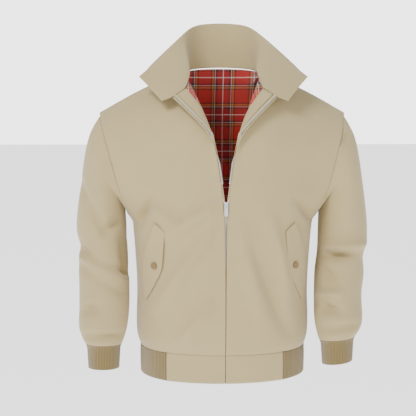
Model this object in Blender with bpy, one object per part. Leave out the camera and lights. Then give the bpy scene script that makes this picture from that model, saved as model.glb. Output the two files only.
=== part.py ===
"""Harrington jacket, worn form with no wearer: every cut piece is a thin closed wall.

The front of the jacket faces -Y, the wearer's left is +X and +Z is up. The origin lies
between the shoulders, where the wearer carries the jacket.
"""
import math
from collections import namedtuple

import bpy
import numpy as np
from mathutils import Vector
from mathutils.bvhtree import BVHTree

# Cloth thicknesses and gaps, in metres.
SHELL = 0.0016
RIB = 0.0026
COLLAR = 0.0026
LINING = 0.0010
TAPE = 0.0010
LAYER_GAP = 0.0009
SEAM_HALF_GAP = 0.00016
EASE = {"collar": 11.0, "facing": 3.0, "lining": 3.0}
BAND_HEIGHT = 0.058
CUFF_HEIGHT = 0.050

# Column places across a front: fixed distances from the edge, then even shares.
EDGE_COLUMNS = (0.0, 0.0105, 0.018, 0.026, 0.034)
SPREAD_COLUMNS = 7
FACING_COLUMN = 4
BAND_SPLIT_COLUMN = 7
BACK_COLUMNS = 16
ARM_ROWS = 8

# One row for each level of the torso, from the waist seam up to the armpit.
Level = namedtuple("Level", "up half_width front back edge_dip gap")
TORSO = (
    Level(-0.540, 0.1735, 0.1225, 0.114, 0.008, 0.0005),
    Level(-0.520, 0.1815, 0.1330, 0.124, 0.007, 0.0005),
    Level(-0.475, 0.1810, 0.1370, 0.127, 0.006, 0.0005),
    Level(-0.425, 0.1785, 0.1380, 0.128, 0.005, 0.0005),
    Level(-0.370, 0.1815, 0.1385, 0.129, 0.005, 0.0007),
    Level(-0.325, 0.1845, 0.1385, 0.131, 0.005, 0.0018),
    Level(-0.285, 0.1880, 0.1385, 0.132, 0.005, 0.0028),
)

# Upper front, from above the armpit to the neck and shoulder seam: the free edge, the roll
# where the edge turns outward, the inner chest, the outer chest and the armhole.
Upper = namedtuple("Upper", "edge roll inner outer arm")
FRONT = (
    Upper((0.0050, -0.1385, -0.236), (0.022, -0.1385, -0.236), (0.070, -0.1350, -0.238),
          (0.140, -0.1080, -0.246), (0.1975, -0.042, -0.262)),
    Upper((0.0125, -0.1350, -0.185), (0.030, -0.1345, -0.186), (0.072, -0.1300, -0.190),
          (0.145, -0.1040, -0.203), (0.2105, -0.056, -0.232)),
    Upper((0.0195, -0.1310, -0.140), (0.0255, -0.1268, -0.141), (0.074, -0.1230, -0.144),
          (0.150, -0.0980, -0.160), (0.2220, -0.061, -0.192)),
    Upper((0.0290, -0.1300, -0.108), (0.0240, -0.1205, -0.110), (0.077, -0.1140, -0.104),
          (0.156, -0.0880, -0.120), (0.2325, -0.059, -0.150)),
    Upper((0.0480, -0.1265, -0.083), (0.0335, -0.1125, -0.084), (0.080, -0.1010, -0.066),
          (0.162, -0.0730, -0.084), (0.2430, -0.049, -0.114)),
    Upper((0.0730, -0.1150, -0.058), (0.0470, -0.1030, -0.054), (0.083, -0.0680, -0.024),
          (0.168, -0.0430, -0.042), (0.2515, -0.029, -0.082)),
    Upper((0.1050, -0.0950, -0.0275), (0.0770, -0.0770, -0.006), (0.086, 0.0000, 0.024),
          (0.170, 0.0000, -0.010), (0.2560, 0.000, -0.058)),
)

# Upper back: centre, inner, outer and armhole, from above the armpit to neck and shoulder.
UpperBack = namedtuple("UpperBack", "centre inner outer arm")
BACK = (
    UpperBack((0.0, 0.132, -0.236), (0.072, 0.130, -0.238), (0.145, 0.103, -0.246),
              (0.1990, 0.045, -0.262)),
    UpperBack((0.0, 0.131, -0.185), (0.076, 0.129, -0.190), (0.150, 0.104, -0.203),
              (0.2130, 0.060, -0.232)),
    UpperBack((0.0, 0.128, -0.135), (0.080, 0.126, -0.142), (0.155, 0.102, -0.160),
              (0.2240, 0.065, -0.192)),
    UpperBack((0.0, 0.122, -0.087), (0.082, 0.119, -0.095), (0.160, 0.095, -0.118),
              (0.2340, 0.062, -0.150)),
    UpperBack((0.0, 0.112, -0.041), (0.083, 0.105, -0.050), (0.164, 0.080, -0.076),
              (0.2440, 0.050, -0.114)),
    UpperBack((0.0, 0.097, -0.001), (0.084, 0.072, -0.010), (0.168, 0.050, -0.036),
              (0.2520, 0.028, -0.082)),
    UpperBack((0.0, 0.078, 0.036), (0.086, 0.000, 0.024), (0.170, 0.000, -0.010),
              (0.2560, 0.000, -0.058)),
)

# Half collar from the centre back to the seam's front end and on to the tab: seam, middle, top.
Stand = namedtuple("Stand", "share middle top")
COLLAR_ROWS = (
    Stand(0.00, (0.000, 0.085, 0.085), (0.000, 0.092, 0.134)),
    Stand(0.16, (0.032, 0.080, 0.084), (0.035, 0.086, 0.1325)),
    Stand(0.32, (0.062, 0.060, 0.081), (0.062, 0.063, 0.126)),
    Stand(0.46, (0.076, 0.034, 0.079), (0.077, 0.034, 0.117)),
    Stand(0.58, (0.0745, 0.004, 0.068), (0.096, 0.010, 0.092)),
    Stand(0.70, (0.0720, -0.028, 0.046), (0.121, -0.003, 0.068)),
    Stand(0.84, (0.0840, -0.055, 0.020), (0.145, -0.018, 0.044)),
    Stand(1.00, (0.1270, -0.066, 0.000), (0.161, -0.031, 0.026)),
)
TAB_FOOT = (0.1285, -0.0930, -0.0350)
TAB_MIDDLE = (0.1510, -0.0690, -0.0100)
TAB_TOP = (0.1745, -0.0430, 0.0150)

# Sleeve rings below the armhole: centre, half width across, half depth, lean of the ring.
Ring = namedtuple("Ring", "x y z across deep lean")
SLEEVES = {
    "right": (
        Ring(0.2500, 0.002, -0.215, 0.0500, 0.0680, 24), Ring(0.2520, -0.001, -0.262, 0.0530, 0.0640, 12),
        Ring(0.2540, -0.008, -0.312, 0.0550, 0.0600, 4), Ring(0.2470, -0.014, -0.328, 0.0500, 0.0560, 2),
        Ring(0.2485, -0.020, -0.360, 0.0550, 0.0580, -2), Ring(0.2470, -0.032, -0.410, 0.0530, 0.0550, -4),
        Ring(0.2465, -0.046, -0.460, 0.0540, 0.0550, -4), Ring(0.2500, -0.058, -0.505, 0.0520, 0.0530, -2),
        Ring(0.2480, -0.064, -0.530, 0.0390, 0.0420, 0),
    ),
    "left": (
        Ring(0.2500, 0.002, -0.215, 0.0500, 0.0680, 24), Ring(0.2530, -0.001, -0.270, 0.0530, 0.0640, 12),
        Ring(0.2545, -0.008, -0.335, 0.0550, 0.0600, 4), Ring(0.2450, -0.014, -0.358, 0.0480, 0.0560, 2),
        Ring(0.2460, -0.022, -0.388, 0.0550, 0.0580, -2), Ring(0.2395, -0.036, -0.428, 0.0500, 0.0550, 0),
        Ring(0.2385, -0.050, -0.466, 0.0520, 0.0550, 3), Ring(0.2400, -0.062, -0.500, 0.0510, 0.0530, 5),
        Ring(0.2350, -0.068, -0.522, 0.0385, 0.0420, 6),
    ),
}

# Pocket flap corners across and up, the sewn edge last, and the button on it.
FLAP = ((0.141, -0.279), (0.122, -0.296), (0.127, -0.376), (0.159, -0.440), (0.166, -0.395),
        (0.163, -0.350), (0.152, -0.305))
FLAP_STEP = 0.024
FLAP_LIFT = 0.0014
FLAP_THICK = 0.0020
FLAP_BUTTON = (0.1415, -0.366)
BUTTON_RADIUS = 0.0070
BUTTON_THICK = 0.0025
TAPE_HEIGHTS = (-0.60, -0.25, -0.215, -0.15, -0.12, -0.03)
TAPE_INSETS = (0.0, 0.0, -0.0035, -0.0020, 0.0026, 0.0040)
TAPE_SHARE = 0.80
SLIDER_TOP = -0.2345
SLIDER_HALF = 0.0038
PULL_AXIS = (0.0, -0.1404, -0.2405)
SIDES = {"right": -1.0, "left": 1.0}

KHAKI = (0.445, 0.366, 0.218)
RIB_KHAKI = (0.305, 0.235, 0.110)
RED = (0.480, 0.020, 0.014)
STEEL = (0.62, 0.62, 0.60)
WHITE = (0.80, 0.78, 0.74)
BROWN = (0.160, 0.100, 0.045)


def material(name, colour, roughness=0.9, metallic=0.0):
    """Give a Principled material, made once."""
    found = bpy.data.materials.get(name)
    if found:
        return found
    made = bpy.data.materials.new(name)
    made.use_nodes = True
    shader = made.node_tree.nodes["Principled BSDF"]
    shader.inputs["Base Color"].default_value = (*colour, 1.0)
    shader.inputs["Roughness"].default_value = roughness
    shader.inputs["Metallic"].default_value = metallic
    return made


def through(points, places):
    """Read a centripetal curve through the points at places from 0 to 1 of its index."""
    points = np.asarray(points, float)
    last = len(points) - 1
    out = []
    for place in places:
        at = min(max(place, 0.0), 1.0) * last
        i = min(int(at), last - 1)
        t = at - i
        a, b = points[i], points[i + 1]
        before = points[i - 1] if i > 0 else 2 * a - b
        after = points[i + 2] if i + 2 <= last else 2 * b - a
        span = np.linalg.norm(b - a) + 1e-9
        slope_a = (b - before) * span / (np.linalg.norm(a - before) + span)
        slope_b = (after - a) * span / (np.linalg.norm(after - b) + span)
        out.append((2 * t**3 - 3 * t**2 + 1) * a + (t**3 - 2 * t**2 + t) * slope_a
                   + (3 * t**2 - 2 * t**3) * b + (t**3 - t**2) * slope_b)
    return np.array(out)


def spaced(points, distances):
    """Read points at the distances along a polyline."""
    steps = np.linalg.norm(np.diff(points, axis=0), axis=1)
    run = np.concatenate([[0.0], np.cumsum(steps)])
    return np.stack([np.interp(distances, run, points[:, k]) for k in range(3)], 1)


def length(points):
    """Sum a polyline's steps."""
    return float(np.linalg.norm(np.diff(points, axis=0), axis=1).sum())


def front_distances(total):
    """Place the columns of a front row: the edge zone in real sizes, the rest in even shares."""
    rest = np.linspace(EDGE_COLUMNS[-1], total, SPREAD_COLUMNS + 1)[1:]
    return np.concatenate([EDGE_COLUMNS, rest])


def torso_arc(level, depth, start):
    """Draw one quarter of a torso level from the centre to the side seam."""
    turn = np.linspace(0.0, math.pi / 2, 60)
    across = start + (level.half_width - start) * np.sin(turn) ** 0.92
    fore = depth * np.cos(turn) ** 0.80
    up = level.up - level.edge_dip * np.cos(turn)
    return np.stack([across, fore, up], 1)


def upper_rows(table, places):
    """Blend the table's rows and draw each as a curve from the centre to the armhole."""
    columns = [through([row[k] for row in table], places) for k in range(len(table[0]))]
    return [through([column[i] for column in columns], np.linspace(0, 1, 120))
            for i in range(len(places))]


def torso_tables():
    """Give both upper tables with the armpit level's row added below them."""
    level = TORSO[-1]
    front = torso_arc(level, -level.front, level.gap)
    back = torso_arc(level, level.back, 0.0)
    first = Upper(front[0], front[6], front[22], front[40], front[-1])
    first_back = UpperBack(back[0], back[20], back[40], back[-1])
    return (first, *FRONT), (first_back, *BACK)


def torso_grids():
    """Make the half front and half back grids, rows upward, on the wearer's left."""
    front_table, back_table = torso_tables()
    places = np.linspace(0.0, 1.0, ARM_ROWS + 1)[1:]
    front, back = [], []
    for level in TORSO:
        arc = torso_arc(level, -level.front, level.gap)
        front.append(spaced(arc, front_distances(length(arc))))
        arc = torso_arc(level, level.back, 0.0)
        back.append(spaced(arc, np.linspace(0, length(arc), BACK_COLUMNS // 2 + 1)))
    for arc in upper_rows(front_table, places):
        front.append(spaced(arc, front_distances(length(arc))))
    for arc in upper_rows(back_table, places):
        back.append(spaced(arc, np.linspace(0, length(arc), BACK_COLUMNS // 2 + 1)))
    front, back = np.array(front), np.array(back)
    share_top_seam(front, back)
    back[: len(TORSO), -1] = front[: len(TORSO), -1]
    return front, back


def share_top_seam(front, back):
    """Put the back's shoulder points on the front's, and note where the neckline ends."""
    corner = neck_column(front)
    shoulder = front[-1, corner:]
    inner = spaced(shoulder, np.linspace(0, length(shoulder), len(shoulder)))
    front[-1, corner:] = inner
    count = BACK_COLUMNS // 2 + 1 - len(inner)
    neck = through([(0.0, 0.078, 0.036), (0.045, 0.070, 0.034), (0.074, 0.042, 0.030), inner[0]],
                   np.linspace(0, 1, count + 1))
    back[-1] = np.concatenate([neck[:-1], inner])


def neck_column(front):
    """Find the front column that ends where the neck meets the shoulder seam."""
    return int(np.argmin(np.linalg.norm(front[-1] - np.array(FRONT[-1].inner), axis=1)))


def mirrored(grid, side):
    """Reflect a wearer's-left grid to the side asked for."""
    return grid * np.array([side, 1.0, 1.0])


class Panel:
    """A cloth piece: a grid of outer points, its thickness and the depth where it starts."""

    def __init__(self, name, grid, thick, look, flip=False, closed=False, depth=0.0, layer="shell"):
        self.name, self.grid, self.thick, self.look = name, np.asarray(grid, float), thick, look
        self.flip, self.closed, self.depth, self.layer = flip, closed, depth, layer
        self.normals = None
        self.pulls = None

    def quads(self):
        """List the grid's quads as index pairs, turned outward."""
        rows, cols = self.grid.shape[:2]
        wide = cols if self.closed else cols - 1
        for r in range(rows - 1):
            for c in range(wide):
                d = (c + 1) % cols
                loop = [(r, c), (r, d), (r + 1, d), (r + 1, c)]
                yield [loop[0], loop[3], loop[2], loop[1]] if self.flip else loop

    def face_normals(self):
        """Sum the face normals at each grid point."""
        out = np.zeros_like(self.grid)
        for loop in self.quads():
            a, b, c, d = (self.grid[i] for i in loop)
            normal = np.cross(c - a, d - b)
            for i in loop:
                out[i] += normal / (np.linalg.norm(normal) + 1e-12)
        return out

    def borders(self):
        """Give each border point with its direction into the piece."""
        rows, cols = self.grid.shape[:2]
        inward = {}
        for r in (0, rows - 1):
            step = 1 if r == 0 else -1
            for c in range(cols):
                inward.setdefault((r, c), []).append(self.grid[r + step, c] - self.grid[r, c])
        for c in (() if self.closed else (0, cols - 1)):
            step = 1 if c == 0 else -1
            for r in range(rows):
                inward.setdefault((r, c), []).append(self.grid[r, c + step] - self.grid[r, c])
        return {i: sum(v / (np.linalg.norm(v) + 1e-12) for v in vs) for i, vs in inward.items()}


def key(point):
    """Name a place so that points which meet share it."""
    return tuple(int(round(v * 50000)) for v in point)


def settle(panels):
    """Share normals across seams in the shell, and draw each border back from its seam."""
    normals, pulls = {}, {}
    shell = [p for p in panels if p.layer == "shell"]
    for panel in shell:
        for i, normal in np.ndenumerate(np.zeros(panel.grid.shape[:2])):
            place = key(panel.grid[i])
            normals.setdefault(place, np.zeros(3))
        faces = panel.face_normals()
        for i in np.ndindex(*panel.grid.shape[:2]):
            normals[key(panel.grid[i])] += faces[i]
    for panel in panels:
        faces = panel.face_normals()
        panel.normals = np.zeros_like(panel.grid)
        for i in np.ndindex(*panel.grid.shape[:2]):
            total = normals.get(key(panel.grid[i]), faces[i])
            panel.normals[i] = total / (np.linalg.norm(total) + 1e-12)
        for i, way in panel.borders().items():
            pulls.setdefault((panel.layer, key(panel.grid[i])), []).append((panel.name, way))
    for panel in panels:
        panel.pulls = np.zeros_like(panel.grid)
        for i, way in panel.borders().items():
            own = way / (np.linalg.norm(way) + 1e-12)
            others = [w for name, w in pulls[(panel.layer, key(panel.grid[i]))] if name != panel.name]
            apart = own - (sum(others) / len(others) if others else 0)
            apart -= panel.normals[i] * float(apart @ panel.normals[i])
            if panel.name == "collar":
                apart = own
            reach = SEAM_HALF_GAP * EASE.get(panel.name.split("_")[0], 1.4)
            panel.pulls[i] = apart / (np.linalg.norm(apart) + 1e-12) * reach


def add_object(name, points, faces, look):
    """Add a mesh object with its material."""
    mesh = bpy.data.meshes.new(name)
    mesh.from_pydata([tuple(p) for p in points], [], faces)
    mesh.validate()
    made = bpy.data.objects.new(name, mesh)
    bpy.context.collection.objects.link(made)
    mesh.materials.append(material(*look))
    return made


def build_panel(panel):
    """Close a panel's outer and inner sheets with its border walls, all in triangles."""
    rows, cols = panel.grid.shape[:2]
    count = rows * cols
    base = panel.grid + panel.pulls
    outer = (base - panel.normals * panel.depth).reshape(-1, 3)
    inner = (base - panel.normals * (panel.depth + panel.thick)).reshape(-1, 3)
    faces, edges = [], {}
    for loop in panel.quads():
        flat = [r * cols + c for r, c in loop]
        for tri in ((flat[0], flat[1], flat[2]), (flat[0], flat[2], flat[3])):
            faces.append(tri)
            faces.append(tuple(count + i for i in reversed(tri)))
            for a, b in zip(tri, tri[1:] + tri[:1]):
                edges[(a, b)] = edges.get((a, b), 0) + 1
    for a, b in edges:
        if (b, a) not in edges:
            faces.append((b, a, count + a))
            faces.append((b, count + a, count + b))
    return add_object(panel.name, np.concatenate([outer, inner]), faces, panel.look)


def band_rows(top, edge_x=None):
    """Drop a waist row to a band's rows below it."""
    rows = [top]
    for share, swell in ((0.35, 0.001), (1.0, 0.0)):
        row = top.copy()
        row[:, 2] -= BAND_HEIGHT * share
        row[:, :2] *= 1.0 + swell / 0.15
        row[:, 0] = np.where(np.abs(top[:, 0]) < 0.001, top[:, 0], row[:, 0])
        rows.append(row)
    return np.array(rows[::-1])


def sleeve_rings(side, front, back):
    """Give a sleeve's rings from the armhole down: front armhole up, then back armhole down."""
    base = len(TORSO) - 1
    hole = np.concatenate([front[base:, -1], back[base + 1:-1, -1][::-1]])
    rings = [hole]
    count = len(hole)
    for ring in SLEEVES[side]:
        lean = math.radians(ring.lean)
        points = []
        for k in range(count):
            turn = 2 * math.pi * k / count
            across = -math.cos(turn) * ring.across
            points.append((ring.x + across * math.cos(lean), ring.y - math.sin(turn) * ring.deep,
                           ring.z + across * math.sin(lean)))
        rings.append(np.array(points))
    rings.insert(1, rings[0] * 0.62 + rings[1] * 0.38 + np.array([0.012, 0.0, 0.012]))
    return np.array(rings)


def collar_grid(front, back, side):
    """Raise half the collar from the neckline, which it shares with the fronts and back."""
    corner = neck_column(front)
    seam = np.concatenate([back[-1][: BACK_COLUMNS // 2 + 1 - (front.shape[1] - corner) + 1],
                           front[-1][:corner][::-1]])
    steps = np.concatenate([[0], np.cumsum(np.linalg.norm(np.diff(seam, axis=0), axis=1))])
    shares = steps / steps[-1]
    known = [row.share for row in COLLAR_ROWS]
    place = np.interp(shares, known, np.linspace(0, 1, len(known)))
    middle = through([row.middle for row in COLLAR_ROWS], place)
    top = through([row.top for row in COLLAR_ROWS], place)
    foot = np.vstack([seam, TAB_FOOT])
    middle = np.vstack([middle, TAB_MIDDLE])
    top = np.vstack([top, TAB_TOP])
    rows = [foot]
    for share in (0.28, 0.52, 0.76, 1.0):
        blend = ((1 - share)**2 * foot + 2 * share * (1 - share) * (2 * middle - (foot + top) / 2)
                 + share**2 * top)
        rows.append(blend)
    return np.array(rows)


def surface(panels):
    """Make a tree of the front's outer faces, to seat the flaps on."""
    points, faces = [], []
    for panel in panels:
        rows, cols = panel.grid.shape[:2]
        start = len(points)
        points.extend(Vector(p) for p in panel.grid.reshape(-1, 3))
        for loop in panel.quads():
            flat = [start + r * cols + c for r, c in loop]
            faces.append((flat[0], flat[1], flat[2]))
            faces.append((flat[0], flat[2], flat[3]))
    return BVHTree.FromPolygons(points, faces)


def seat(tree, x, z):
    """Find the front's outer face ahead of a place."""
    spot = tree.ray_cast(Vector((x, -0.4, z)), Vector((0, 1, 0)))
    return spot[0], -spot[1] if spot[1].y > 0 else spot[1]


def build_flap(side, tree):
    """Lay a flap on the front, its free edges a little proud of it."""
    sign = SIDES[side]
    corners = [Vector((x * sign, 0, z)) for x, z in FLAP]
    outline = []
    for a, b in zip(corners, corners[1:] + corners[:1]):
        parts = max(1, round((b - a).length / FLAP_STEP))
        outline += [a.lerp(b, k / parts) for k in range(parts)]
    middle = sum(outline, Vector()) / len(outline)
    shares = (0.25, 0.5, 0.75, 1.0)
    rings = [[middle]] + [[middle.lerp(p, s) for p in outline] for s in shares]
    points, lift, thick = [], FLAP_LIFT, FLAP_THICK
    flat = [p for ring in rings for p in ring]
    for p in flat:
        spot, normal = seat(tree, p.x, p.z)
        points.append(np.array(spot + normal * (lift + thick)))
    inner = []
    for p in flat:
        spot, normal = seat(tree, p.x, p.z)
        inner.append(np.array(spot + normal * lift))
    n, count = len(outline), len(flat)
    faces = []
    for k in range(n):
        a, b = 1 + k, 1 + (k + 1) % n
        faces.append((0, a, b))
        for ring in range(len(shares) - 1):
            low, high = n * ring, n * (ring + 1)
            faces += [(a + low, a + high, b + low), (b + low, a + high, b + high)]
    if sign < 0:
        faces = [f[::-1] for f in faces]
    faces += [tuple(count + i for i in reversed(f)) for f in faces]
    for k in range(n):
        first = 1 + n * (len(shares) - 1)
        a, b = first + k, first + (k + 1) % n
        wall = [(a, count + a, count + b), (a, count + b, b)]
        faces += wall if sign > 0 else [f[::-1] for f in wall]
    return add_object(f"pocket_flap_{side}", points + inner, faces, ("shell", KHAKI))


def build_disc(name, centre, normal, radius, thick, look):
    """Add a flat round button, its back at the centre given."""
    turn = Vector((0, 0, 1)).rotation_difference(Vector(normal).normalized())
    points = []
    for high in (0.0, thick):
        points += [Vector(centre) + turn @ Vector((radius * math.cos(math.tau * k / 12),
                                                   radius * math.sin(math.tau * k / 12), high))
                   for k in range(12)]
    faces = [tuple(range(11, -1, -1)), tuple(range(12, 24))]
    faces += [(k, (k + 1) % 12, 12 + (k + 1) % 12, 12 + k) for k in range(12)]
    return add_object(name, points, faces, look)


def box(name, low, high, look, cuts=()):
    """Add a box with square holes cut through it."""
    low, high = Vector(low), Vector(high)
    corners = [(x, y, z) for z in (low.z, high.z) for y in (low.y, high.y) for x in (low.x, high.x)]
    faces = [(0, 2, 3, 1), (4, 5, 7, 6), (0, 1, 5, 4), (2, 6, 7, 3), (0, 4, 6, 2), (1, 3, 7, 5)]
    made = add_object(name, corners, faces, look)
    for number, (cut_low, cut_high) in enumerate(cuts):
        cutter = box(f"{name}_cutter_{number}", cut_low, cut_high, look)
        cutter.hide_render = True
        cutter.display_type = "WIRE"
        hole = made.modifiers.new(f"hole_{number}", "BOOLEAN")
        hole.operation = "DIFFERENCE"
        hole.object = cutter
    return made


def build_zip_hardware(face_y):
    """Build the slider with its bail, and the pull tab that hangs from the bail."""
    bottom = SLIDER_TOP - 0.0095
    half = SLIDER_HALF
    channel = ((-half - 0.001, face_y + 0.0016, bottom - 0.001), (half + 0.001, face_y + 0.0038, SLIDER_TOP - 0.0022))
    post_left = ((-half - 0.001, face_y + 0.0016, SLIDER_TOP - 0.0030), (-0.0007, face_y + 0.0038, SLIDER_TOP + 0.001))
    post_right = ((0.0007, face_y + 0.0016, SLIDER_TOP - 0.0030), (half + 0.001, face_y + 0.0038, SLIDER_TOP + 0.001))
    front_left = ((-half - 0.001, face_y - 0.0040, bottom - 0.001), (-0.0006, face_y + 0.0002, SLIDER_TOP + 0.001))
    front_right = ((0.0006, face_y - 0.0040, bottom - 0.001), (half + 0.001, face_y + 0.0002, SLIDER_TOP + 0.001))
    y, z = PULL_AXIS[1], PULL_AXIS[2]
    eye = ((-0.002, y - 0.0010, z - 0.0011), (0.002, face_y + 0.0001, z + 0.0011))
    box("zip_slider", (-half, y - 0.0020, bottom), (half, face_y + 0.0050, SLIDER_TOP), ("steel", STEEL, 0.3, 1.0),
        (channel, post_left, post_right, front_left, front_right, eye))
    slot = ((-0.0014, y - 0.01, z - 0.0062), (0.0014, y + 0.01, z - 0.0007))
    top_slot = ((-0.0014, y - 0.01, z + 0.0007), (0.0014, y + 0.01, z + 0.0030))
    box("zip_pull", (-0.0038, y - 0.0006, z - 0.0220), (0.0038, y + 0.0006, z + 0.0006),
        ("steel", STEEL, 0.3, 1.0), (slot,))


def build_tape(side, front, band):
    """Run a zip tape down the inside of the front's edge and through the waistband."""
    grid = np.concatenate([band.grid[:-1, :2], front.grid[:, :2]])
    normals = np.concatenate([band.normals[:-1, :2], front.normals[:, :2]])
    bands = len(band.grid)
    sheets = ([], [])
    for r, row in enumerate(grid):
        along = row[1] - row[0]
        along /= np.linalg.norm(along)
        up = row[0][2]
        start = row[0] + along * float(np.interp(up, TAPE_HEIGHTS, TAPE_INSETS))
        if up < SLIDER_TOP + 0.005:
            start[0] = SIDES[side] * (0.0011 if up > SLIDER_TOP - 0.03 else 0.00025)
        end = row[0] * (1 - TAPE_SHARE) + row[1] * TAPE_SHARE
        end_normal = normals[r, 0] * (1 - TAPE_SHARE) + normals[r, 1] * TAPE_SHARE
        top = (RIB if r < bands else SHELL) + LAYER_GAP * (0.7 if up < -0.2 else 2.3)
        for sheet, deep in zip(sheets, (top, top + TAPE * 0.8)):
            sheet.append((start - normals[r, 0] * deep, end - end_normal * deep))
    points = np.concatenate([np.array(sheet).reshape(-1, 3) for sheet in sheets])
    count = len(grid) * 2
    faces = []
    for r in range(len(grid) - 1):
        a, b, c, d = 2 * r, 2 * r + 1, 2 * r + 3, 2 * r + 2
        faces += [(a, b, c), (a, c, d), (count + c, count + b, count + a)]
        faces += [(count + d, count + c, count + a), (a, d, count + d), (a, count + d, count + a)]
        faces += [(b, count + b, count + c), (b, count + c, c)]
    last = count - 2
    faces += [(0, count, count + 1), (0, count + 1, 1)]
    faces += [(last, last + 1, count + last + 1), (last, count + last + 1, count + last)]
    if SIDES[side] < 0:
        faces = [f[::-1] for f in faces]
    return add_object(f"zip_tape_{side}", points, faces, ("tape", KHAKI))


def full_width(half, keep_centre=True):
    """Join a half grid and its reflection across the centre."""
    return np.concatenate([mirrored(half, -1.0)[:, :0:-1], half], axis=1)


def main():
    """Build every piece of the jacket."""
    for old in list(bpy.data.objects):
        bpy.data.objects.remove(old)
    front, back = torso_grids()
    shell, rib, red = ("shell", KHAKI), ("rib", RIB_KHAKI), ("lining", RED)
    deep = SHELL + LAYER_GAP
    panels, fronts = [], []
    cut = BAND_SPLIT_COLUMN
    for side, sign in SIDES.items():
        flip = sign < 0
        grid = mirrored(front, sign)
        outer = Panel(f"front_{side}", grid, SHELL, shell, flip)
        fronts.append(outer)
        panels.append(outer)
        facing = Panel(f"facing_{side}", grid[:, 1:FACING_COLUMN + 1], LINING, shell, flip, depth=deep, layer="lining")
        lining = Panel(f"lining_front_{side}", grid[:, FACING_COLUMN:], LINING, red, flip, depth=deep, layer="lining")
        band = mirrored(band_rows(front[0]), sign)
        panels += [facing, lining, Panel(f"waistband_front_{side}", band[:, : cut + 1], RIB, shell, flip)]
        rings = mirrored(sleeve_rings(side, front, back), sign)
        panels.append(Panel(f"sleeve_{side}", rings, SHELL, shell, not flip, closed=True))
        last = rings[-1]
        middle = last.mean(0)
        cuff = [last]
        for share, scale in ((0.12, 0.90), (0.55, 0.88), (1.0, 0.84)):
            cuff.append(middle + (last - middle) * np.array([scale, scale, 1]) + np.array([0, -0.004 * share, -CUFF_HEIGHT * share]))
        panels.append(Panel(f"cuff_{side}", np.array(cuff), RIB, rib, not flip, closed=True))
    back_full = full_width(back)
    panels.append(Panel("back", back_full, SHELL, shell, True))
    panels.append(Panel("lining_back", back_full, LINING, red, True, depth=deep, layer="lining"))
    side_band = band_rows(front[0])[:, cut:]
    back_band = full_width(band_rows(back[0]))
    ring = np.concatenate([mirrored(side_band, -1.0), back_band[:, 1:-1], side_band[:, ::-1]], axis=1)
    panels.append(Panel("waistband_rib", ring, RIB, rib, True))
    collar_half = collar_grid(front, back, 1.0)
    panels.append(Panel("collar", full_width(collar_half), COLLAR, shell, True))
    settle(panels)
    for panel in panels:
        build_panel(panel)
    tree = surface(fronts)
    named = {panel.name: panel for panel in panels}
    for side, sign in SIDES.items():
        build_flap(side, tree)
        spot, normal = seat(tree, FLAP_BUTTON[0] * sign, FLAP_BUTTON[1])
        build_disc(f"pocket_button_{side}", spot + normal * (FLAP_LIFT + FLAP_THICK + 0.0006), normal, BUTTON_RADIUS, BUTTON_THICK, ("button", BROWN, 0.4))
        build_tape(side, named[f"front_{side}"], named[f"waistband_front_{side}"])
    build_zip_hardware(-TORSO[-1].front)


main()
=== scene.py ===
"""Looks of a khaki harrington jacket: cloth shells, folds, tartan, rib, zip and light."""
import logging
import math
from dataclasses import dataclass
from enum import Enum

import bmesh
import bpy
import numpy as np
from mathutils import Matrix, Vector


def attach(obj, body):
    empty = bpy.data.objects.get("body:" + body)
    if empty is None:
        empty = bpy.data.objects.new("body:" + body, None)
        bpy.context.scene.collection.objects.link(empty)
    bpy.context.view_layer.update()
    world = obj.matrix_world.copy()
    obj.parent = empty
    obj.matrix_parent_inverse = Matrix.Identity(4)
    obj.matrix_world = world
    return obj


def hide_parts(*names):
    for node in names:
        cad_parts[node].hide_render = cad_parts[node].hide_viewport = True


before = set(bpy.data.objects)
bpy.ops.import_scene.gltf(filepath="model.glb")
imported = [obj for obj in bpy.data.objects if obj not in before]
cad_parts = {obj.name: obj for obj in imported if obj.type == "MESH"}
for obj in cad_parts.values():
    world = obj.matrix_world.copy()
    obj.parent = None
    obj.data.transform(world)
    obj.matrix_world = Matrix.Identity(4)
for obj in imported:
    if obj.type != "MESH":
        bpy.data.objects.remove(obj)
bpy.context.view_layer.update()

LOG = logging.getLogger("jacket")
JACKET = "jacket"
MM = 0.001

# Folds: all heights times this, how little depth counts in reach, and where they fade out.
FOLD_GAIN = 2.6
FOLD_DEPTH_SHARE = 0.35
FOLD_END_SHARE = 0.35
EDGE_FADE = 0.03
WAIST_SEAM = -0.54
WAIST_FADE = 0.03

# Edges that turn more than this stay crisp, as a cut or stitched rim does.
RIM_ANGLE = math.radians(55)
WELD = 0.02 * MM
JOIN_FACE_ANGLE = 0.9
JOIN_SHAPE_ANGLE = 1.2

# A sleeve's axis: how far out it runs, and how far fore at each height.
SLEEVE_OUT = 0.247
SLEEVE_HEIGHTS = (-0.53, -0.46, -0.36, -0.30, 0)
SLEEVE_FORE = (-0.066, -0.048, -0.021, -0.007, 0.0)
TORSO_SQUASH = 0.6

# Real sizes of the weaves and knits, and the radii that they run around.
TWILL_RIB = 1.1 * MM
TAPE_RIB = 0.8 * MM
KNIT_RIB = 3.2 * MM
BAND_RADIUS = 0.145
CUFF_RADIUS = 0.037
TWILL_DEPTH = 0.1 * MM
KNIT_DEPTH = 0.8 * MM

# How strongly each shows, from 0 to 1, and how far each colour darkens or lightens.
TWILL_STRENGTH = 0.10
KNIT_STRENGTH = 0.7
# The knit's troughs get painted shade: their colour is darkened by this share.
KNIT_TROUGH_PAINTED_SHADE = 0.55
KNIT_CREST_SHARE = 0.5
TONE_DARK = 0.95
TONE_LIGHT = 1.05
TONE_SCALE = 22.0
TONE_DETAIL = 6.0
WEAVE_SHARE = 0.5


class Form(Enum):
    """Which way a piece's folds move its cloth."""

    TORSO = "torso"
    SLEEVE = "sleeve"
    FLAT = "flat"


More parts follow.
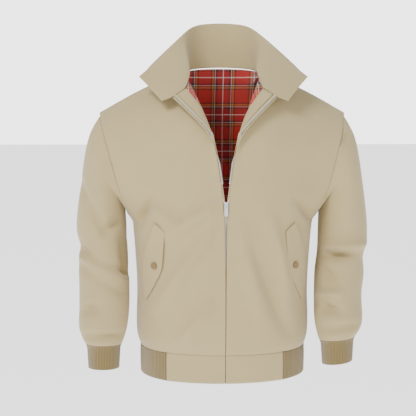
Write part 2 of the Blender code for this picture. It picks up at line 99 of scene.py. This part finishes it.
@dataclass(frozen=True)
class Finish:
    """A cloth, plastic or metal finish.

    Args:
        name: the material's name.
        colour: its sRGB hex colour.
        roughness: how rough it is.
        metallic: 1 for metal.
        sheen: the cloth's soft edge light.
    """

    name: str
    colour: str
    roughness: float = 0.9
    metallic: float = 0.0
    sheen: float = 0.25


@dataclass(frozen=True)
class Fold:
    """A soft ridge between two places, or a trough where its height is below zero.

    Args:
        start: one end, in metres.
        end: the other end, in metres.
        width: how far it reaches to each side, in metres.
        height: how high it stands before FOLD_GAIN, in metres.
    """

    start: tuple
    end: tuple
    width: float
    height: float


@dataclass(frozen=True)
class Cut:
    """A cloth piece.

    Args:
        node: the node that it stands for.
        finish: its finish's key in Materials.
        form: which way its folds move it.
        flat: the width and length of its cut, in metres. Not used.
        levels: how many times it is subdivided.
        held: how the cloth is held. Not used.
    """

    node: str
    finish: str
    form: Form
    flat: tuple
    levels: int = 3
    held: str = "draped"


# Cotton twill: matt, with fine diagonal ribs and a faint soft edge.
KHAKI = Finish("khaki_cotton", "#AE9C70")
# Ribbed wool-mix knit: painted shade darkens the troughs between its upright ribs.
RIB = Finish("rib_knit", "#8C7748", 0.95)
# Woven polyester tape: flat, matt and a little paler than the cloth.
TAPE = Finish("zip_tape", "#B5A67C")
# Moulded polyester resin: smooth, with a soft highlight.
BUTTON = Finish("button", "#7C6236", 0.35, 0.0, 0.0)
# Woven cotton tartan: matt, its stripes mixed where they cross.
TARTAN = Finish("tartan_lining", "#B81E1A", 0.8)
# Nickel-plated steel: bright, with sharp highlights.
STEEL = Finish("zip_metal", "#D8D8D6", 0.22, 1.0, 0.0)

# Folds of the fronts and back: the ends are across, fore and up.
TORSO_FOLDS = (
    Fold((-0.012, -0.14, -0.235), (-0.115, -0.12, -0.300), 0.014, 0.0050),
    Fold((-0.020, -0.14, -0.275), (-0.140, -0.11, -0.455), 0.016, 0.0055),
    Fold((-0.030, -0.14, -0.440), (-0.090, -0.12, -0.520), 0.013, 0.0045),
    Fold((-0.180, -0.05, -0.285), (-0.150, -0.10, -0.232), 0.011, -0.0070),
    Fold((-0.150, -0.10, -0.232), (-0.085, -0.13, -0.268), 0.013, -0.0040),
    Fold((0.090, -0.13, -0.270), (0.130, -0.12, -0.430), 0.015, 0.0050),
    Fold((0.055, -0.13, -0.330), (0.130, -0.11, -0.505), 0.014, -0.0045),
    Fold((0.030, -0.14, -0.290), (0.075, -0.12, -0.480), 0.018, 0.0035),
    Fold((0.185, -0.05, -0.275), (0.150, -0.10, -0.235), 0.011, -0.0055),
    Fold((-0.170, 0.08, -0.280), (-0.060, 0.13, -0.360), 0.017, 0.0050),
    Fold((0.175, 0.07, -0.290), (0.050, 0.13, -0.395), 0.015, 0.0045),
    Fold((-0.120, 0.11, -0.440), (-0.020, 0.13, -0.500), 0.018, -0.0045),
    Fold((0.130, 0.10, -0.470), (0.030, 0.13, -0.515), 0.015, 0.0040),
)

# Folds of both sleeves, elbow wraps and wrist creases among them.
SLEEVE_FOLDS = (
    Fold((-0.300, -0.02, -0.200), (-0.245, -0.07, -0.300), 0.010, -0.0050),
    Fold((-0.245, -0.07, -0.300), (-0.200, -0.05, -0.270), 0.010, -0.0045),
    Fold((-0.300, -0.04, -0.335), (-0.195, -0.05, -0.388), 0.008, -0.0080),
    Fold((-0.300, -0.05, -0.350), (-0.200, -0.06, -0.400), 0.007, 0.0045),
    Fold((-0.295, -0.05, -0.372), (-0.205, -0.07, -0.430), 0.008, -0.0055),
    Fold((-0.300, -0.08, -0.460), (-0.255, -0.10, -0.452), 0.009, -0.0050),
    Fold((-0.290, -0.09, -0.512), (-0.210, -0.10, -0.508), 0.008, -0.0050),
    Fold((-0.210, -0.03, -0.320), (-0.200, -0.05, -0.385), 0.010, -0.0060),
    Fold((0.275, -0.04, -0.085), (0.250, -0.06, -0.118), 0.011, -0.0045),
    Fold((0.200, -0.06, -0.335), (0.300, -0.05, -0.330), 0.009, 0.0050),
    Fold((0.195, -0.06, -0.352), (0.270, -0.08, -0.350), 0.008, -0.0080),
    Fold((0.190, -0.06, -0.375), (0.225, -0.09, -0.400), 0.009, -0.0060),
    Fold((0.190, -0.07, -0.430), (0.240, -0.10, -0.425), 0.008, 0.0050),
    Fold((0.190, -0.08, -0.455), (0.235, -0.10, -0.462), 0.009, -0.0060),
    Fold((0.200, -0.09, -0.500), (0.270, -0.10, -0.492), 0.008, -0.0050),
    Fold((0.275, 0.02, -0.360), (0.230, 0.05, -0.380), 0.010, -0.0055),
    Fold((-0.280, 0.02, -0.340), (-0.230, 0.05, -0.362), 0.010, -0.0055),
)

CUTS = (
    Cut("front_right", "khaki", Form.TORSO, (0.30, 0.60)),
    Cut("front_left", "khaki", Form.TORSO, (0.30, 0.60)),
    Cut("back", "khaki", Form.TORSO, (0.56, 0.60)),
    Cut("sleeve_right", "khaki", Form.SLEEVE, (0.36, 0.38)),
    Cut("sleeve_left", "khaki", Form.SLEEVE, (0.36, 0.38)),
    Cut("collar", "khaki", Form.FLAT, (0.50, 0.10)),
    Cut("waistband_front_right", "khaki", Form.FLAT, (0.12, 0.06)),
    Cut("waistband_front_left", "khaki", Form.FLAT, (0.12, 0.06)),
    Cut("waistband_rib", "rib", Form.FLAT, (0.70, 0.058)),
    Cut("cuff_right", "rib", Form.FLAT, (0.23, 0.05)),
    Cut("cuff_left", "rib", Form.FLAT, (0.23, 0.05)),
    Cut("facing_right", "khaki", Form.TORSO, (0.024, 0.60)),
    Cut("facing_left", "khaki", Form.TORSO, (0.024, 0.60)),
    Cut("lining_front_right", "tartan", Form.TORSO, (0.27, 0.60)),
    Cut("lining_front_left", "tartan", Form.TORSO, (0.27, 0.60)),
    Cut("lining_back", "tartan", Form.TORSO, (0.56, 0.60)),
    Cut("pocket_flap_right", "khaki", Form.FLAT, (0.045, 0.16)),
    Cut("pocket_flap_left", "khaki", Form.FLAT, (0.045, 0.16)),
)

# The pieces that keep their own meshes, and their finishes.
KEPT_PIECES = {
    "zip_slider": "steel",
    "zip_pull": "steel",
    "pocket_button_right": "button",
    "pocket_button_left": "button",
    "zip_tape_right": "tape",
    "zip_tape_left": "tape",
}

# The tartan's sett, symmetric: where each stripe starts in the repeat, and its colour.
TARTAN_REPEAT = 0.080
WARP_SHIFT = 0.42
WEFT_SHIFT = 0.30
SETT = (
    (0.00, "#C02A22"), (0.17, "#20120F"), (0.205, "#B97A34"), (0.25, "#20120F"), (0.275, "#E8D8CC"),
    (0.29, "#3A1420"), (0.35, "#A01C20"), (0.485, "#EBDCD4"), (0.515, "#A01C20"), (0.65, "#3A1420"),
    (0.71, "#E8D8CC"), (0.725, "#20120F"), (0.75, "#B97A34"), (0.795, "#20120F"), (0.83, "#C02A22"),
)


def linear(colour: str) -> tuple:
    """Turn an sRGB hex colour linear.

    Args:
        colour: a colour such as "#C2B48C".

    Returns:
        Its linear red, green, blue and alpha.
    """
    values = [int(colour[i:i + 2], 16) / 255 for i in (1, 3, 5)]
    bright = [((v + 0.055) / 1.055) ** 2.4 if v > 0.04045 else v / 12.92 for v in values]
    return (*bright, 1.0)


def node(tree: bpy.types.NodeTree, kind: str, **inputs) -> bpy.types.Node:
    """Add a shader node and set its inputs.

    Args:
        tree: the node tree.
        kind: the node's type.
        inputs: input values by name, with _ for a space.

    Returns:
        The node.
    """
    made = tree.nodes.new(kind)
    for name, value in inputs.items():
        made.inputs[name.replace("_", " ")].default_value = value
    return made


def math_node(tree: bpy.types.NodeTree, operation: str, first: "bpy.types.NodeSocket | float",
              second: "bpy.types.NodeSocket | float | None" = None) -> bpy.types.NodeSocket:
    """Add a maths node.

    Args:
        tree: the node tree.
        operation: the maths node's operation.
        first: a socket or a number.
        second: another, where the operation takes two.

    Returns:
        The output socket.
    """
    made = tree.nodes.new("ShaderNodeMath")
    made.operation = operation
    for slot, value in enumerate((first, second)):
        if value is None:
            continue
        if isinstance(value, (int, float)):
            made.inputs[slot].default_value = value
        else:
            tree.links.new(value, made.inputs[slot])
    return made.outputs[0]


def plain(finish: Finish) -> bpy.types.Material:
    """Make a plain finish.

    Args:
        finish: the finish's colour and surface.

    Returns:
        The material.
    """
    made = bpy.data.materials.new(finish.name)
    made.use_nodes = True
    shader = made.node_tree.nodes["Principled BSDF"]
    shader.inputs["Base Color"].default_value = linear(finish.colour)
    shader.inputs["Roughness"].default_value = finish.roughness
    shader.inputs["Metallic"].default_value = finish.metallic
    shader.inputs["Sheen Weight"].default_value = finish.sheen
    return made


def shaded(colour: tuple, share: float) -> tuple:
    """Darken or lighten a linear colour.

    Args:
        colour: its linear red, green, blue and alpha.
        share: what each of the three is multiplied by.

    Returns:
        The new linear colour, opaque.
    """
    return (*[min(1.0, value * share) for value in colour[:3]], 1.0)


def mix_colours(tree: bpy.types.NodeTree, factor: "bpy.types.NodeSocket | float",
                first: "bpy.types.NodeSocket | tuple", second: "bpy.types.NodeSocket | tuple") -> None:
    """Mix two colours into a material's base colour.

    Args:
        tree: the node tree.
        factor: a socket, or a number from 0 to 1.
        first: a socket or a linear colour, shown where the factor is 0.
        second: a socket or a linear colour, shown where the factor is 1.
    """
    mix = tree.nodes.new("ShaderNodeMix")
    mix.data_type = "RGBA"
    for slot, value in ((0, factor), (6, first), (7, second)):
        if isinstance(value, bpy.types.NodeSocket):
            tree.links.new(value, mix.inputs[slot])
        else:
            mix.inputs[slot].default_value = value
    tree.links.new(mix.outputs[2], tree.nodes["Principled BSDF"].inputs["Base Color"])


class Materials:
    """The jacket's finishes, each with its own weave."""

    def __init__(self) -> None:
        """Make each finish once."""
        self.made = {
            "khaki": self.cloth(KHAKI, TWILL_RIB),
            "rib": self.rib(),
            "tape": self.cloth(TAPE, TAPE_RIB),
            "tartan": self.tartan(),
            "steel": plain(STEEL),
            "button": plain(BUTTON),
        }

    def bump(self, made: bpy.types.Material, height: bpy.types.NodeSocket, strength: float,
             distance: float) -> None:
        """Join a height socket to a material's normal.

        Args:
            made: the material.
            height: the socket that gives the height.
            strength: how strongly it shows, from 0 to 1.
            distance: the height's real size in metres.
        """
        tree = made.node_tree
        bump = node(tree, "ShaderNodeBump", Strength=strength, Distance=distance)
        tree.links.new(height, bump.inputs["Height"])
        tree.links.new(bump.outputs["Normal"], tree.nodes["Principled BSDF"].inputs["Normal"])

    def axes(self, tree: bpy.types.NodeTree) -> tuple:
        """Read the object's own coordinates in metres.

        Args:
            tree: the node tree.

        Returns:
            The across, fore and up sockets, and the whole place.
        """
        place = tree.nodes.new("ShaderNodeTexCoord")
        parts = tree.nodes.new("ShaderNodeSeparateXYZ")
        tree.links.new(place.outputs["Object"], parts.inputs[0])
        return parts.outputs[0], parts.outputs[1], parts.outputs[2], place.outputs["Object"]

    def cloth(self, finish: Finish, rib_width: float) -> bpy.types.Material:
        """Make a cotton twill: fine diagonal ribs and a faint uneven tone.

        Args:
            finish: the cloth's finish.
            rib_width: the distance from one rib to the next, in metres.

        Returns:
            The material.
        """
        made = plain(finish)
        tree = made.node_tree
        across, fore, up, place = self.axes(tree)
        slant = math_node(tree, "ADD", math_node(tree, "ADD", across, fore), up)
        wave = math_node(tree, "SINE", math_node(tree, "MULTIPLY", slant, math.tau / rib_width))
        self.bump(made, wave, TWILL_STRENGTH, TWILL_DEPTH)
        noise = node(tree, "ShaderNodeTexNoise", Scale=TONE_SCALE, Detail=TONE_DETAIL)
        tree.links.new(place, noise.inputs["Vector"])
        base = linear(finish.colour)
        dark, light = shaded(base, TONE_DARK), shaded(base, TONE_LIGHT)
        mix_colours(tree, noise.outputs["Fac"], dark, light)
        return made

    def rib(self) -> bpy.types.Material:
        """Make a knit of upright ribs, set by the distance around, with painted shade in the troughs
        between them.

        Returns:
            The material.
        """
        made = plain(RIB)
        tree = made.node_tree
        coordinates = tree.nodes.new("ShaderNodeUVMap")
        coordinates.uv_map = "metres"
        parts = tree.nodes.new("ShaderNodeSeparateXYZ")
        tree.links.new(coordinates.outputs[0], parts.inputs[0])
        around = math_node(tree, "MULTIPLY", parts.outputs[0], math.tau / KNIT_RIB)
        wave = math_node(tree, "SINE", around)
        self.bump(made, wave, KNIT_STRENGTH, KNIT_DEPTH)
        base = linear(RIB.colour)
        # Painted shade: the colour darkens in the rib troughs and stays whole on the crests.
        painted_trough_shade_mix = math_node(tree, "MULTIPLY_ADD", wave, KNIT_CREST_SHARE)
        mix_colours(tree, painted_trough_shade_mix, shaded(base, KNIT_TROUGH_PAINTED_SHADE), base)
        return made

    def stripes(self, tree: bpy.types.NodeTree, socket: bpy.types.NodeSocket,
                shift: float) -> bpy.types.NodeSocket:
        """Read the sett along one direction.

        Args:
            tree: the node tree.
            socket: the distance along that direction, in metres.
            shift: where in the repeat the distance starts, from 0 to 1.

        Returns:
            The stripe's colour socket.
        """
        repeats = math_node(tree, "DIVIDE", socket, TARTAN_REPEAT)
        turn = math_node(tree, "FRACT", math_node(tree, "ADD", repeats, shift))
        ramp = tree.nodes.new("ShaderNodeValToRGB")
        ramp.color_ramp.interpolation = "CONSTANT"
        for place, colour in SETT[1:-1]:
            ramp.color_ramp.elements.new(place).color = linear(colour)
        ramp.color_ramp.elements[0].color = linear(SETT[0][1])
        ramp.color_ramp.elements[-1].position = SETT[-1][0]
        ramp.color_ramp.elements[-1].color = linear(SETT[-1][1])
        tree.links.new(turn, ramp.inputs[0])
        return ramp.outputs[0]

    def tartan(self) -> bpy.types.Material:
        """Weave the sett both ways, half and half as a twill mixes them.

        Returns:
            The material.
        """
        made = plain(TARTAN)
        tree = made.node_tree
        across, _, up, _ = self.axes(tree)
        warp = self.stripes(tree, across, WARP_SHIFT)
        weft = self.stripes(tree, up, WEFT_SHIFT)
        mix_colours(tree, WEAVE_SHARE, warp, weft)
        return made


class ClothPiece:
    """A thin shell on a cloth node's form, with its folds."""

    def __init__(self, cut: Cut, materials: Materials) -> None:
        """Keep the cut and its material.

        Args:
            cut: the piece's row in the table of cuts.
            materials: the jacket's finishes.
        """
        self.cut = cut
        self.material = materials.made[cut.finish]

    def refined(self) -> bpy.types.Object:
        """Copy the node's mesh in quads and round it by subdivision.

        Returns:
            The new object.
        """
        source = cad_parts[self.cut.node]
        mesh = bmesh.new()
        mesh.from_mesh(source.data)
        bmesh.ops.remove_doubles(mesh, verts=mesh.verts, dist=WELD)
        bmesh.ops.join_triangles(mesh, faces=mesh.faces, angle_face_threshold=JOIN_FACE_ANGLE,
                                 angle_shape_threshold=JOIN_SHAPE_ANGLE)
        crease = mesh.edges.layers.float.new("crease_edge")
        for edge in mesh.edges:
            if edge.calc_face_angle(0.0) > RIM_ANGLE:
                edge[crease] = 1.0
        data = bpy.data.meshes.new(f"{self.cut.node}_cloth")
        mesh.to_mesh(data)
        mesh.free()
        made = bpy.data.objects.new(f"{self.cut.node}_cloth", data)
        bpy.context.collection.objects.link(made)
        smooth = made.modifiers.new("round", "SUBSURF")
        smooth.levels = smooth.render_levels = self.cut.levels
        smooth.boundary_smooth = "ALL"
        bpy.context.view_layer.update()
        shown = made.evaluated_get(bpy.context.evaluated_depsgraph_get())
        final = bpy.data.meshes.new_from_object(shown)
        made.modifiers.clear()
        made.data = final
        return made

    def directions(self, points: np.ndarray) -> np.ndarray:
        """Give the way that folds move the cloth at each point.

        Args:
            points: the cloth's points, a row each.

        Returns:
            A level unit vector for each point, away from the torso's or sleeve's axis.
        """
        out = points.copy()
        if self.cut.form is Form.SLEEVE:
            side = np.sign(points[:, :1].mean())
            out[:, 0] -= side * SLEEVE_OUT
            out[:, 1] -= np.interp(points[:, 2], SLEEVE_HEIGHTS, SLEEVE_FORE)
        else:
            out[:, 0] *= TORSO_SQUASH
        out[:, 2] = 0
        return out / (np.linalg.norm(out, axis=1, keepdims=True) + 1e-9)

    def fold(self, made: bpy.types.Object) -> None:
        """Move the cloth by its folds, which fade at the zip and the waist seam.

        Args:
            made: the piece's object.
        """
        table = {Form.TORSO: TORSO_FOLDS, Form.SLEEVE: SLEEVE_FOLDS, Form.FLAT: ()}[self.cut.form]
        points = np.empty(len(made.data.vertices) * 3)
        made.data.vertices.foreach_get("co", points)
        points = points.reshape(-1, 3)
        ways = self.directions(points)
        height = np.zeros(len(points))
        for fold in table:
            start, end = np.array(fold.start), np.array(fold.end)
            line = end - start
            share = np.clip((points - start) @ line / (line @ line), 0, 1)
            apart = points - (start + share[:, None] * line)
            apart[:, 1] *= FOLD_DEPTH_SHARE
            away = np.linalg.norm(apart, axis=1)
            along = FOLD_END_SHARE + (1 - FOLD_END_SHARE) * np.sin(np.pi * share)
            height += FOLD_GAIN * fold.height * np.exp(-(away / fold.width) ** 2) * along
        edge = 1.0
        if self.cut.form is Form.TORSO:
            edge = np.clip(np.abs(points[:, 0]) / EDGE_FADE, 0, 1)
        seam = np.clip((points[:, 2] - WAIST_SEAM) / WAIST_FADE, 0, 1)
        points += ways * (height * edge * seam)[:, None]
        made.data.vertices.foreach_set("co", points.reshape(-1))
        made.data.update()

    def unwrap(self, made: bpy.types.Object) -> None:
        """Set the distance around and up, in metres, as the piece's coordinates.

        Args:
            made: the piece's object.
        """
        layer = made.data.uv_layers.new(name="metres")
        points = np.array([v.co for v in made.data.vertices])
        middle = (points.min(0) + points.max(0)) / 2
        around = np.arctan2(points[:, 1] - middle[1], points[:, 0] - middle[0])
        radius = BAND_RADIUS if self.cut.node == "waistband_rib" else CUFF_RADIUS
        for loop in made.data.loops:
            i = loop.vertex_index
            layer.data[loop.index].uv = (around[i] * radius, points[i, 2])

    def build(self) -> bpy.types.Object:
        """Build the piece and put it on the jacket's body.

        Returns:
            The piece's object.
        """
        made = self.refined()
        self.fold(made)
        self.unwrap(made)
        made.data.materials.clear()
        made.data.materials.append(self.material)
        made.data.shade_smooth()
        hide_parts(self.cut.node)
        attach(made, JACKET)
        return made


@dataclass(frozen=True)
class Zip:
    """The teeth along both tapes.

    Args:
        pitch: the distance from one tooth to the next, in metres.
        tooth: a tooth's size across, fore and up, in metres.
        row_height: the tape's points within this height are one row.
        turned_above: the fronts turn outward above this height.
    """

    pitch: float = 2.0 * MM
    tooth: tuple = (2.4 * MM, 2.0 * MM, 1.3 * MM)
    row_height: float = 0.012
    turned_above: float = -0.13

    def edge(self, side: str) -> list:
        """Read a tape's free edge from its node, from the hem up.

        Above turned_above the front turns outward, so the free edge is the outer one there.

        Args:
            side: the wearer's side, right or left.

        Returns:
            The edge's points.
        """
        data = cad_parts[f"zip_tape_{side}"].data
        points = sorted((tuple(v.co) for v in data.vertices), key=lambda p: p[2])
        rows = {}
        for p in points:
            rows.setdefault(round(p[2] / self.row_height), []).append(Vector(p))
        free = []
        for row in rows.values():
            pick = max if row[0].z > self.turned_above else min
            free.append(pick(row, key=lambda p: abs(p.x)))
        return sorted(free, key=lambda p: p.z)

    def centres(self, side: str) -> np.ndarray:
        """Space the teeth along a tape's free edge.

        Args:
            side: the wearer's side, right or left.

        Returns:
            The centre of each tooth.
        """
        edge = np.array(self.edge(side))
        steps = np.linalg.norm(np.diff(edge, axis=0), axis=1)
        run = np.concatenate([[0], np.cumsum(steps)])
        places = np.arange(self.pitch, run[-1] - self.pitch, self.pitch)
        return np.stack([np.interp(places, run, edge[:, k]) for k in range(3)], 1)

    def build(self, material: bpy.types.Material) -> None:
        """Set a tooth at each pitch along the edges.

        Args:
            material: the teeth's metal.
        """
        for side in ("right", "left"):
            mesh = bmesh.new()
            for centre in self.centres(side):
                made = bmesh.ops.create_cube(mesh, size=1.0)
                bmesh.ops.scale(mesh, vec=self.tooth, verts=made["verts"])
                bmesh.ops.translate(mesh, vec=centre, verts=made["verts"])
            data = bpy.data.meshes.new(f"zip_teeth_{side}")
            mesh.to_mesh(data)
            mesh.free()
            teeth = bpy.data.objects.new(data.name, data)
            data.materials.append(material)
            bpy.context.collection.objects.link(teeth)
            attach(teeth, JACKET)


@dataclass(frozen=True)
class Lamp:
    """A square soft light that points at the jacket.

    Args:
        name: the light's name.
        place: where it stands, in metres.
        size: its width in metres.
        power: its power in watts.
    """

    name: str
    place: tuple
    size: float
    power: float


@dataclass(frozen=True)
class Studio:
    """The floor, the soft lights and the camera.

    Args:
        aim: the place that the camera and the lights point at, in metres.
        distance: how far the camera stands from it, in metres.
        pitch: how far above it the camera stands, in radians.
        yaw: how far to the wearer's right, in radians.
        lens: the camera's focal length in millimetres.
        ambient: how strongly the background lights the jacket.
        backdrop: how much brighter the camera sees it.
        floor_size: the floor's width in metres.
        floor_height: its height in metres.
        floor_glow: how strongly it glows.
        lights: the soft lights.
    """

    aim: tuple = (-0.030, 0.0, -0.258)
    distance: float = 2.6
    pitch: float = math.radians(5.0)
    yaw: float = math.radians(2.6)
    lens: float = 107.0
    ambient: float = 0.55
    backdrop: float = 3.0
    floor_size: float = 60
    floor_height: float = -1.2
    floor_glow: float = 1.6
    lights: tuple = (
        Lamp("key", (-1.5, -1.7, 1.9), 1.0, 85),
        Lamp("fill", (1.8, -1.8, 0.6), 1.8, 18),
    )

    def set_backdrop(self) -> None:
        """Light the jacket softly all round, against a whiter background than lights it."""
        world = bpy.data.worlds.new("studio")
        bpy.context.scene.world = world
        world.use_nodes = True
        tree = world.node_tree
        background = tree.nodes["Background"]
        background.inputs[0].default_value = (1, 1, 1, 1)
        seen = tree.nodes.new("ShaderNodeLightPath")
        strength = math_node(tree, "MULTIPLY", seen.outputs["Is Camera Ray"], self.backdrop)
        total = math_node(tree, "ADD", strength, self.ambient)
        tree.links.new(total, background.inputs[1])

    def set_lights(self) -> None:
        """Stand each soft light in its place."""
        for lamp in self.lights:
            data = bpy.data.lights.new(lamp.name, "AREA")
            data.size = lamp.size
            data.energy = lamp.power
            light = bpy.data.objects.new(lamp.name, data)
            light.location = lamp.place
            way = Vector(self.aim) - Vector(lamp.place)
            light.rotation_euler = way.to_track_quat("-Z", "Y").to_euler()
            bpy.context.collection.objects.link(light)

    def set_camera(self) -> None:
        """Point the camera at the jacket from a little above and to the wearer's right."""
        data = bpy.data.cameras.new("camera")
        data.lens = self.lens
        camera = bpy.data.objects.new("camera", data)
        level = math.cos(self.pitch)
        away = Vector((-math.sin(self.yaw) * level, -math.cos(self.yaw) * level, math.sin(self.pitch)))
        camera.location = Vector(self.aim) + away * self.distance
        camera.rotation_euler = (-away).to_track_quat("-Z", "Y").to_euler()
        bpy.context.collection.objects.link(camera)
        bpy.context.scene.camera = camera

    def set_floor(self) -> None:
        """Lay a plain pale floor below the jacket."""
        bpy.ops.mesh.primitive_plane_add(size=self.floor_size, location=(0, 0, self.floor_height))
        floor = bpy.context.object
        floor.name = "floor"
        pale = plain(Finish("floor", "#FAFAFA", 0.9, 0.0, 0.0))
        shader = pale.node_tree.nodes["Principled BSDF"]
        shader.inputs["Emission Color"].default_value = (1, 1, 1, 1)
        shader.inputs["Emission Strength"].default_value = self.floor_glow
        floor.data.materials.append(pale)

    def build(self) -> None:
        """Set the stage round the jacket."""
        self.set_backdrop()
        self.set_lights()
        self.set_camera()
        self.set_floor()


def refinish(materials: Materials) -> None:
    """Give the pieces that keep their own meshes a better finish.

    Args:
        materials: the jacket's finishes.
    """
    for name, made in KEPT_PIECES.items():
        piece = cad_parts[name]
        piece.data.materials.clear()
        piece.data.materials.append(materials.made[made])


def main() -> None:
    """Build the jacket's looks."""
    logging.basicConfig(level=logging.INFO)
    materials = Materials()
    for cut in CUTS:
        ClothPiece(cut, materials).build()
        LOG.info("built %s", cut.node)
    Zip().build(materials.made["steel"])
    refinish(materials)
    Studio().build()


if __name__ == "__main__":
    main()
